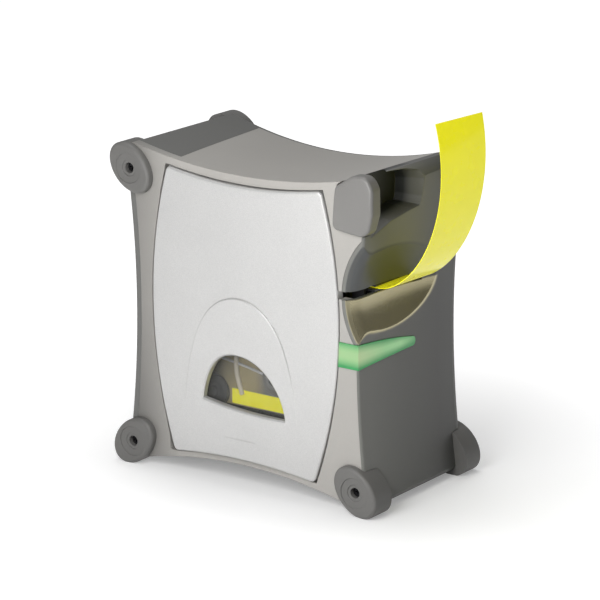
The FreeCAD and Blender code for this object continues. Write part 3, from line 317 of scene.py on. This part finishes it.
# ---------------------------------------------------------------- tape cassette
# The cassette fills the bay behind the door: a black case with a smoky tan lid, through
# which the tape and the ribbon show as soft bands.
give(grained_plastic("cassette_black", (0.022, 0.022, 0.023), 0.4), "cassette_case")
lid_low, lid_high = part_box("cassette_cover")
finish, wire = material("smoky_tan_lid")
x, y, z = wire.axes()
smoke = wire.noise(60.0, 3.0)
tan = smoke.mixed((0.40, 0.33, 0.17), (0.56, 0.48, 0.26))
grey = smoke.mixed((0.17, 0.17, 0.16), (0.26, 0.26, 0.25))
# Painted shade: the lid darkens towards its left end.
painted_shade_left_end = (x.clamped(lid_low.x + 0.009, lid_low.x + 0.016) * 0.85 + 0.15)
lid = x.clamped(lid_low.x + 0.031, lid_low.x + 0.037).mixed(tan, grey)
lid = wire.node("ShaderNodeVectorMath", {"operation": "SCALE"}, {0: lid, "Scale": painted_shade_left_end})
surface(wire, Base_Color=lid, Roughness=smoke * 0.1 + 0.2, Normal=wire.bumped(smoke, 0.00003), IOR=1.5)
give(finish, "cassette_cover")

# ---------------------------------------------------------------- cassette guides
# What shows through the door's window: a tape guide post and a cross rib in milky plastic, a
# dark drive hub at the left and a small grey roller at the right, all standing on the lid.
lid_front = lid_low.y


def turned_piece(name, x, z, profile, finish):
    """A turned part standing on the lid, its profile as (radius, height) from the axis out."""
    mesh = bpy.data.meshes.new(name)
    steps = 40
    rows = []
    for radius, height in profile:
        rows.append([(x + radius * math.cos(2 * math.pi * k / steps), lid_front - height,
                      z + radius * math.sin(2 * math.pi * k / steps)) for k in range(steps)])
    points = [p for row in rows for p in row]
    faces = [(r * steps + k, r * steps + (k + 1) % steps, (r + 1) * steps + (k + 1) % steps, (r + 1) * steps + k)
             for r in range(len(rows) - 1) for k in range(steps)]
    faces += [tuple(range(steps))[::-1], tuple((len(rows) - 1) * steps + k for k in range(steps))]
    mesh.from_pydata(points, [], faces)
    mesh.shade_smooth()
    made = bpy.data.objects.new(name, mesh)
    bpy.context.collection.objects.link(made)
    edges = made.modifiers.new("rounded edges", "BEVEL")
    edges.width, edges.segments, edges.limit_method = 0.0002, 2, "ANGLE"
    mesh.materials.append(finish)
    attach(made, "housing")
    return made


def rib(name, points, width, finish):
    """A milky moulded rib along a line of (x, z) on the lid."""
    line = bpy.data.curves.new(name, "CURVE")
    line.dimensions = "3D"
    line.bevel_depth = width / 2
    line.bevel_resolution = 3
    line.use_fill_caps = True
    spline = line.splines.new("NURBS")
    spline.points.add(len(points) - 1)
    for point, (x, z) in zip(spline.points, points):
        point.co = (x, lid_front - width * 0.4, z, 1)
    spline.order_u = 3
    spline.use_endpoint_u = True
    made = bpy.data.objects.new(name, line)
    bpy.context.collection.objects.link(made)
    line.materials.append(finish)
    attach(made, "housing")
    return made


milky = grained_plastic("milky_rib", (0.86, 0.80, 0.66), 0.30, 0.000006, 0.0002)
clear_white = grained_plastic("clear_white_rib", (0.80, 0.80, 0.80), 0.25, 0.000006, 0.0002)
slate = grained_plastic("hub_slate", (0.030, 0.034, 0.038), 0.35)
roller_grey = grained_plastic("roller_grey", (0.22, 0.22, 0.21), 0.35)
left, low = lid_low.x, lid_low.z
rib("tape_guide_post", [(left + 0.0225, low + 0.030), (left + 0.0215, low + 0.020), (left + 0.0225, low + 0.012),
                        (left + 0.0250, low + 0.0055)], 0.0021, milky)
rib("lid_cross_rib", [(left + 0.014, low + 0.0200), (left + 0.024, low + 0.0192), (left + 0.036, low + 0.0165)],
    0.0012, clear_white)
turned_piece("drive_hub", left + 0.0105, low + 0.0048,
             [(0.0072, 0.0), (0.0072, 0.0022), (0.0052, 0.0030), (0.0050, 0.0018), (0.0024, 0.0018), (0.0022, 0.0030)],
             slate)
turned_piece("tape_roller", left + 0.0425, low + 0.0150,
             [(0.0050, 0.0), (0.0050, 0.0026), (0.0036, 0.0031), (0.0018, 0.0031), (0.0016, 0.0008)],
             roller_grey)

# ---------------------------------------------------------------- reels and ribbon
# Inside the cassette: white moulded spools, the wound ribbon in black film, and the keyed
# spindle that takes the spent ribbon up.
give(grained_plastic("spool_white", (0.62, 0.61, 0.58), 0.4), "tape_spool", "ribbon_spool")
finish, wire = material("ribbon_film")
turns = wire.noise(1500.0, 2.0)
surface(wire, Base_Color=turns.mixed((0.012, 0.012, 0.013), (0.03, 0.03, 0.032)), Roughness=turns * 0.2 + 0.2,
        Normal=wire.bumped(turns, 0.00002))
give(finish, "ribbon_roll", "takeup_spool")

# ---------------------------------------------------------------- drive
# Nylon gears, steel shafts and bronze bushes on a black glass-filled deck, turned by two
# small cans of bright steel.
give(grained_plastic("gear_acetal", (0.60, 0.58, 0.50), 0.38, 0.000008, 0.0002),
     "reduction_gear", "idler_gear", "platen_gear", "cutter_gear", "feed_pinion", "cutter_pinion",
     "takeup_spindle", "cutter_rack")
give(grained_plastic("deck_black", (0.035, 0.035, 0.038), 0.5),
     "mechanism_deck", "slot_guide", "platen_bracket", "cutter_guide")


def metal(name, colour, roughness, scale):
    """Drawn or turned metal with fine uneven marks."""
    finish, wire = material(name)
    marks = wire.noise(scale, 4.0)
    darker = tuple(c * 0.7 for c in colour)
    surface(wire, Base_Color=marks.mixed(darker, colour), Metallic=1.0, Roughness=marks * 0.2 + roughness,
            Normal=wire.bumped(marks, 0.00001))
    return finish


give(metal("bright_steel", (0.60, 0.60, 0.58), 0.22, 700.0),
     "hinge_pins", "latch_pin", "gear_pins", "feed_motor", "cutter_motor", "platen_shaft",
     "cutter_blade", "cutter_anvil", "usb_socket", "board_screws")
give(metal("sintered_bronze", (0.50, 0.32, 0.14), 0.3, 1200.0), "shaft_bearings")
give(metal("extruded_aluminium", (0.70, 0.70, 0.70), 0.3, 500.0), "head_heatsink")
give(grained_plastic("roller_rubber", (0.03, 0.03, 0.03), 0.7), "platen_rubber")
give(grained_plastic("head_ceramic", (0.50, 0.45, 0.40), 0.3), "print_head")

# ---------------------------------------------------------------- electronics
# A green laminate board with its chips and capacitors, a small lamp board behind the light
# pipe, and the two sockets in the rear cover.
finish, wire = material("board_laminate")
weave = wire.noise(900.0, 1.0)
tracks = wire.node("ShaderNodeTexBrick", {"offset": 0.5},
                   {"Vector": wire.place(), "Scale": 160.0, "Mortar Size": 0.06, "Color1": (0.01, 0.09, 0.03),
                    "Color2": (0.012, 0.11, 0.04), "Mortar": (0.02, 0.17, 0.07)})
surface(wire, Base_Color=tracks, Roughness=weave * 0.1 + 0.3, Normal=wire.bumped(weave, 0.00001))
give(finish, "main_board", "lamp_board")
give(grained_plastic("chip_epoxy", (0.02, 0.02, 0.021), 0.45, 0.00001, 0.0002), "board_components", "dc_jack")
finish, wire = material("lamp_lens")
haze = wire.noise(500.0, 1.0)
surface(wire, Base_Color=haze.mixed((0.6, 0.8, 0.6), (0.8, 0.9, 0.8)), Roughness=haze * 0.1 + 0.2,
        Emission_Color=(0.3, 1.0, 0.4), Emission_Strength=0.6)
give(finish, "indicator_lamps")

# ---------------------------------------------------------------- floor and light
# A white sweep under the label maker, a broad soft lamp before it and to the left, and even
# light from all round.
floor_mesh = bpy.data.meshes.new("floor")
reach = 6.0
floor_mesh.from_pydata([(-reach, -reach, 0), (reach, -reach, 0), (reach, reach, 0), (-reach, reach, 0)],
                       [], [(0, 1, 2, 3)])
floor = bpy.data.objects.new("floor", floor_mesh)
bpy.context.collection.objects.link(floor)
finish, wire = material("white_sweep")
rays = wire.node("ShaderNodeLightPath")
ray_kinds = rays.socket.node.outputs
seen = wire.maths("MAXIMUM", Wire(wire.tree, ray_kinds["Is Camera Ray"]),
                  wire.maths("MAXIMUM", Wire(wire.tree, ray_kinds["Is Glossy Ray"]),
                             Wire(wire.tree, ray_kinds["Is Transmission Ray"])))
paper = wire.node("ShaderNodeBsdfDiffuse", None, {"Color": (0.8, 0.8, 0.8)})
x, y, z = wire.axes()
# Painted shadow: the white lift is weaker close to the label maker, darkening the floor round it beyond its real
# shadow.
clear_of_painted_shadow = ((x * x + y * y) ** 0.5).clamped(0.06, 0.22)
lift = wire.node("ShaderNodeEmission", None, {"Color": (1.0, 1.0, 1.0), "Strength": seen * (clear_of_painted_shadow * 0.55 + 0.26)})
both = wire.node("ShaderNodeAddShader", None, {0: paper, 1: lift})
wire.node("ShaderNodeOutputMaterial", None, {"Surface": both})
floor_mesh.materials.append(finish)

world = bpy.data.worlds.new("studio")
bpy.context.scene.world = world
world.use_nodes = True
world.node_tree.nodes.clear()
sky = Wire(world.node_tree)
rays = sky.node("ShaderNodeLightPath")
ray_kinds = rays.socket.node.outputs
seen = sky.maths("MAXIMUM", Wire(sky.tree, ray_kinds["Is Camera Ray"]), Wire(sky.tree, ray_kinds["Is Transmission Ray"]))
split = sky.node("ShaderNodeSeparateXYZ", None, {0: sky.node("ShaderNodeTexCoord")})
to_right = split.clamped(-0.2, 0.9)
even = 0.27 - to_right * 0.17
light = sky.node("ShaderNodeBackground", None, {"Color": (1.0, 1.0, 1.0), "Strength": seen * (1.0 - even) + even})
sky.node("ShaderNodeOutputWorld", None, {"Surface": light})



def soft_lamp(name, size, power, place):
    """A square soft box at a place given from the aim point, in metres, facing it."""
    lamp = bpy.data.objects.new(name, bpy.data.lights.new(name, "AREA"))
    lamp.data.size = size
    lamp.data.energy = power
    lamp.location = target + Vector(place)
    lamp.rotation_euler = (-Vector(place)).to_track_quat("-Z", "Y").to_euler()
    lamp.visible_camera = False
    bpy.context.collection.objects.link(lamp)


soft_lamp("key", 0.20, 0.78, (0.05, -0.26, 0.12))
soft_lamp("top", 0.60, 3.2, (-0.15, 0.25, 0.95))

bpy.context.scene.view_settings.view_transform = "Standard"
